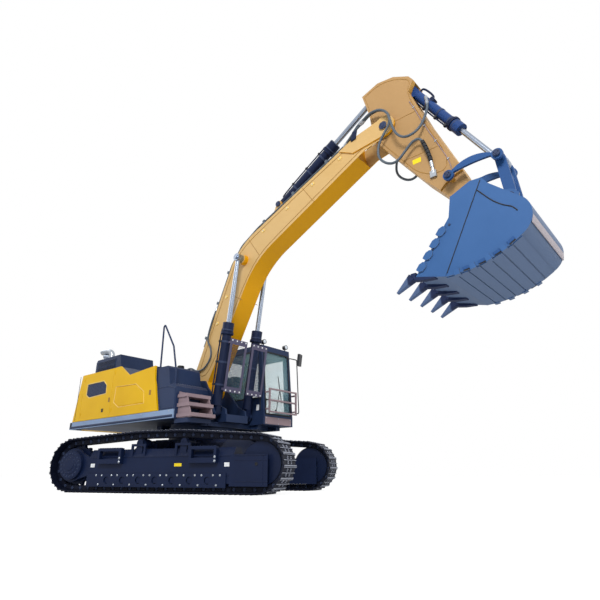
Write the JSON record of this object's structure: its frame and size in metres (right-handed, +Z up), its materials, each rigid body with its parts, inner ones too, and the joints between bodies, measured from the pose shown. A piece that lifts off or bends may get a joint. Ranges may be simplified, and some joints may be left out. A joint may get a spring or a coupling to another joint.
{
  "type": "crawler excavator",
  "caption": "Tracked hydraulic excavator with swung house, hollow cab, raised box boom, arm, curled bucket, cylinders, doors and engine hood.",
  "frame": {"origin": "ground level under the middle of the whole machine's outline, as stored with the house swung and the boom raised", "axes": "+X forward under the boom, +Y to the operator's left, +Z up"},
  "size_m": [11.6591, 4.9969, 8.19],
  "materials": {
    "yellow_paint": "semi-gloss enamel",
    "navy_paint": "satin enamel",
    "blue_paint": "satin enamel",
    "skirt_paint": "semi-gloss enamel",
    "slate_paint": "satin enamel",
    "rose_steel": "satin, worn",
    "track_steel": "worn",
    "chrome": "polished",
    "glass": "clear",
    "seat_cloth": "woven",
    "cab_plastic": "textured",
    "hose": "matte",
    "lamp": "gloss",
    "mirror_shell": "gloss",
    "engine_grey": "painted"
  },
  "bodies": {
    "undercarriage": {"track_right": "track_steel", "track_left": "track_steel", "track_frame_right": "navy_paint", "track_frame_left": "navy_paint", "idlers": "navy_paint", "drive_sprockets": "navy_paint", "bottom_rollers": "navy_paint", "carrier_rollers": "navy_paint", "roller_guards": "navy_paint", "frame_steps": "navy_paint", "carbody": "navy_paint", "slew_ring": "slate_paint"},
    "house": {"main_deck": "slate_paint", "skirts": "skirt_paint", "counterweight": "yellow_paint", "housing": "slate_paint", "cowl": "slate_paint", "engine": "engine_grey", "exhaust": "chrome", "front_steps": "rose_steel", "fuel_tank": "slate_paint", "handrail": "slate_paint", "control_valve": "engine_grey", "cab_frame": "slate_paint", "cab_glass": "glass", "seat": "seat_cloth", "console": "cab_plastic", "cab_guard": "rose_steel", "mirror": "mirror_shell", "roof_lamps": "lamp"},
    "right_rear_door": {"right_rear_door": "yellow_paint"},
    "right_middle_door": {"right_middle_door": "yellow_paint"},
    "left_rear_door": {"left_rear_door": "yellow_paint"},
    "left_front_door": {"left_front_door": "yellow_paint"},
    "engine_hood": {"engine_hood": "slate_paint"},
    "cab_door": {"cab_door": "slate_paint", "cab_door_glass": "glass"},
    "boom": {"boom": "yellow_paint", "boom_lines": "hose"},
    "boom_barrels": {"boom_barrels": "navy_paint", "boom_guards": "slate_paint"},
    "boom_rods": {"boom_rods": "chrome"},
    "arm_barrel": {"arm_barrel": "blue_paint"},
    "arm_rod": {"arm_rod": "chrome"},
    "arm": {"arm": "yellow_paint"},
    "bucket_barrel": {"bucket_barrel": "blue_paint"},
    "bucket_rod": {"bucket_rod": "chrome"},
    "side_links": {"side_links": "blue_paint"},
    "bucket_link": {"bucket_link": "blue_paint"},
    "bucket": {"bucket": "blue_paint", "bucket_teeth": "blue_paint"}
  },
  "joints": [
    {"name": "swing", "type": "hinge", "parent": "undercarriage", "child": "house", "pos_m": [-2.145, 0, 1.44], "axis": [0, 0, 1], "continuous": true},
    {"name": "boom_lift", "type": "hinge", "parent": "house", "child": "boom", "pos_m": [-1.945, 0, 2.25], "axis": [0, -1, 0], "range_deg": [-84, 8]},
    {"name": "arm_crowd", "type": "hinge", "parent": "boom", "child": "arm", "pos_m": [3.315, 0, 6.98], "axis": [0, 1, 0], "range_deg": [-44, 46]},
    {"name": "bucket_curl", "type": "hinge", "parent": "arm", "child": "bucket", "pos_m": [4.785, 0, 4.72], "axis": [0, 1, 0], "range_deg": [-84, 72]},
    {"name": "boom_barrel_tilt", "type": "hinge", "parent": "house", "child": "boom_barrels", "pos_m": [-1.175, 0, 1.64], "axis": [0, -1, 0], "range_deg": [-88.7, 8.9]},
    {"name": "boom_rod_stroke", "type": "slide", "parent": "boom_barrels", "child": "boom_rods", "axis": [0.1477, 0, 0.989], "range_m": [-1.30981, 0.12927]},
    {"name": "arm_barrel_tilt", "type": "hinge", "parent": "boom", "child": "arm_barrel", "pos_m": [0.305, 0, 6.43], "axis": [0, -1, 0], "range_deg": [-3.03, 2.92]},
    {"name": "arm_rod_stroke", "type": "slide", "parent": "arm_barrel", "child": "arm_rod", "axis": [0.8575, 0, 0.5145], "range_m": [-0.74607, 0.77975]},
    {"name": "bucket_barrel_tilt", "type": "hinge", "parent": "arm", "child": "bucket_barrel", "pos_m": [3.885, 0, 7.7], "axis": [0, -1, 0], "range_deg": [-6.26, 7.22]},
    {"name": "bucket_rod_stroke", "type": "slide", "parent": "bucket_barrel", "child": "bucket_rod", "axis": [0.5202, 0, -0.8541], "range_m": [-0.73437, 0.63018]},
    {"name": "side_link_turn", "type": "hinge", "parent": "arm", "child": "side_links", "pos_m": [4.53, 0, 5.232], "axis": [0, 1, 0], "range_deg": [-73.58, 63.14]},
    {"name": "bucket_link_turn", "type": "hinge", "parent": "side_links", "child": "bucket_link", "pos_m": [5.365, 0, 5.27], "axis": [0, 1, 0], "range_deg": [-47.3, 55.1]},
    {"name": "cab_door_hinge", "type": "hinge", "parent": "house", "child": "cab_door", "pos_m": [-1.815, 1.638, 2.35], "axis": [0, 0, 1], "range_deg": [0, 150]},
    {"name": "right_rear_door_hinge", "type": "hinge", "parent": "house", "child": "right_rear_door", "pos_m": [-5.255, -1.5, 2.2], "axis": [0, 0, -1], "range_deg": [0, 95]},
    {"name": "right_middle_door_hinge", "type": "hinge", "parent": "house", "child": "right_middle_door", "pos_m": [-3.791, -1.5, 2.2], "axis": [0, 0, -1], "range_deg": [0, 85]},
    {"name": "left_rear_door_hinge", "type": "hinge", "parent": "house", "child": "left_rear_door", "pos_m": [-5.251, 1.5, 2.2], "axis": [0, 0, 1], "range_deg": [0, 95]},
    {"name": "left_front_door_hinge", "type": "hinge", "parent": "house", "child": "left_front_door", "pos_m": [-3.891, 1.5, 2.2], "axis": [0, 0, 1], "range_deg": [0, 85]},
    {"name": "engine_hood_hinge", "type": "hinge", "parent": "house", "child": "engine_hood", "pos_m": [-5.235, 0, 2.815], "axis": [0, -1, 0], "range_deg": [0, 55]}
  ],
  "couplings": [
    {"joint": "boom_barrel_tilt", "follows": "boom_lift", "ratio": 1.05},
    {"joint": "boom_rod_stroke", "follows": "boom_lift", "m_per_rad": 0.89},
    {"joint": "arm_barrel_tilt", "follows": "arm_crowd", "ratio": -0.055},
    {"joint": "arm_rod_stroke", "follows": "arm_crowd", "m_per_rad": 0.965},
    {"joint": "bucket_barrel_tilt", "follows": "bucket_curl", "ratio": -0.08},
    {"joint": "bucket_rod_stroke", "follows": "bucket_curl", "m_per_rad": 0.4975},
    {"joint": "side_link_turn", "follows": "bucket_curl", "ratio": 0.87},
    {"joint": "bucket_link_turn", "follows": "bucket_curl", "ratio": -0.65}
  ]
}
